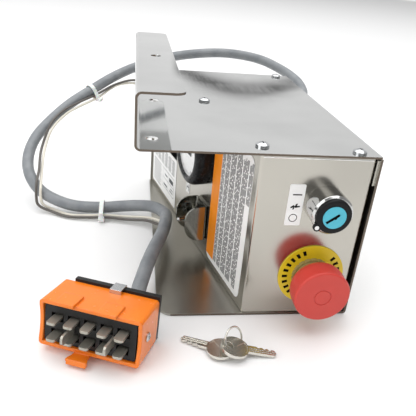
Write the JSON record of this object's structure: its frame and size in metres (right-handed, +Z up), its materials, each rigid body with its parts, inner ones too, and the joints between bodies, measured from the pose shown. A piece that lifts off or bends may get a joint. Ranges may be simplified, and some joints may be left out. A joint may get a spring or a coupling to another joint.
{
  "type": "scissor lift control box",
  "caption": "Folded stainless control box with cover bracket, stop button, key switch, hour meter, guarded toggle, corded plug and keys.",
  "frame": {"origin": "on the underside of the base plate, below the middle of the cover plate", "axes": "+Z up, +Y from the front face to the rear wall, +X to the right when facing the front"},
  "size_m": [0.3079, 0.4174, 0.1615],
  "materials": {
    "satin_steel": "satin, brushed lengthwise",
    "dull_steel": "satin, slightly warm",
    "zinc": "bright zinc plated",
    "chrome": "polished",
    "label_white": "printed film",
    "yellow_disc": "printed film on plastic",
    "olive_collar": "matte",
    "red_cap": "semi-matte",
    "black_plastic": "satin",
    "grey_plastic": "matte",
    "turquoise": "satin",
    "dial_white": "printed",
    "clear_glass": "clear",
    "rubber_black": "matte",
    "cable_grey": "satin sheath",
    "wire_cream": "satin sheath",
    "wire_dark": "satin sheath",
    "tie_white": "translucent nylon",
    "orange_nylon": "moulded nylon",
    "blade_nickel": "tin plated, worn",
    "key_nickel": "nickel plated"
  },
  "bodies": {
    "control_box": {"mounting_bracket": "satin_steel", "lower_housing": "satin_steel", "control_panel": "dull_steel", "bracket_screws": "zinc", "clinch_nuts": "zinc", "housing_rivets": "zinc", "instruction_label": "label_white", "info_label": "label_white", "icon_label": "label_white", "key_legend": "label_white", "stop_disc": "yellow_disc", "stop_collar": "olive_collar", "stop_nut": "black_plastic", "stop_contacts": "grey_plastic", "key_bezel": "chrome", "key_nut": "zinc", "key_contacts": "grey_plastic", "meter_housing": "black_plastic", "meter_dial": "dial_white", "meter_lens": "clear_glass", "meter_clamp": "zinc", "meter_nuts": "zinc", "toggle_guard": "satin_steel", "toggle_body": "zinc", "toggle_nut": "zinc", "gland_elbow": "black_plastic", "gland_dome_nut": "black_plastic", "gland_locknut": "black_plastic", "wire_grommet": "rubber_black", "main_cable": "cable_grey", "light_wire": "wire_cream", "dark_wire": "wire_dark", "cable_ties": "tie_white", "plug_shell": "orange_nylon", "plug_core": "black_plastic", "plug_blades": "blade_nickel", "plug_cover": "black_plastic", "plug_clip": "zinc", "plug_screws": "zinc"},
    "stop_head": {"stop_cap": "red_cap"},
    "lock": {"key_rotor": "black_plastic", "lock_insert": "turquoise"},
    "bat": {"toggle_lever": "chrome"},
    "key_set": {"rear_key": "key_nickel", "key_ring": "key_nickel"},
    "upper_key": {"front_key": "key_nickel"}
  },
  "joints": [
    {"name": "stop_push", "type": "slide", "parent": "control_box", "child": "stop_head", "axis": [0, 1, 0], "range_m": [0, 0.0055]},
    {"name": "key_turn", "type": "hinge", "parent": "control_box", "child": "lock", "pos_m": [0.0473, -0.119, 0.0914], "axis": [0, 1, 0], "range_deg": [0, 90]},
    {"name": "toggle_throw", "type": "hinge", "parent": "control_box", "child": "bat", "pos_m": [-0.0252, -0.03251, 0.0345], "axis": [-0.2368, 0.9715, 0], "range_deg": [-15, 15], "stiffness_Nm_per_rad": 0.05},
    {"name": "key_lift", "type": "slide", "parent": "control_box", "child": "key_set", "axis": [0, 0, 1], "range_m": [0, 0.08]},
    {"name": "front_key_swing", "type": "hinge", "parent": "key_set", "child": "upper_key", "pos_m": [-0.017, -0.1607, 0.005], "axis": [0, 0, 1], "range_deg": [-30, 3]}
  ]
}
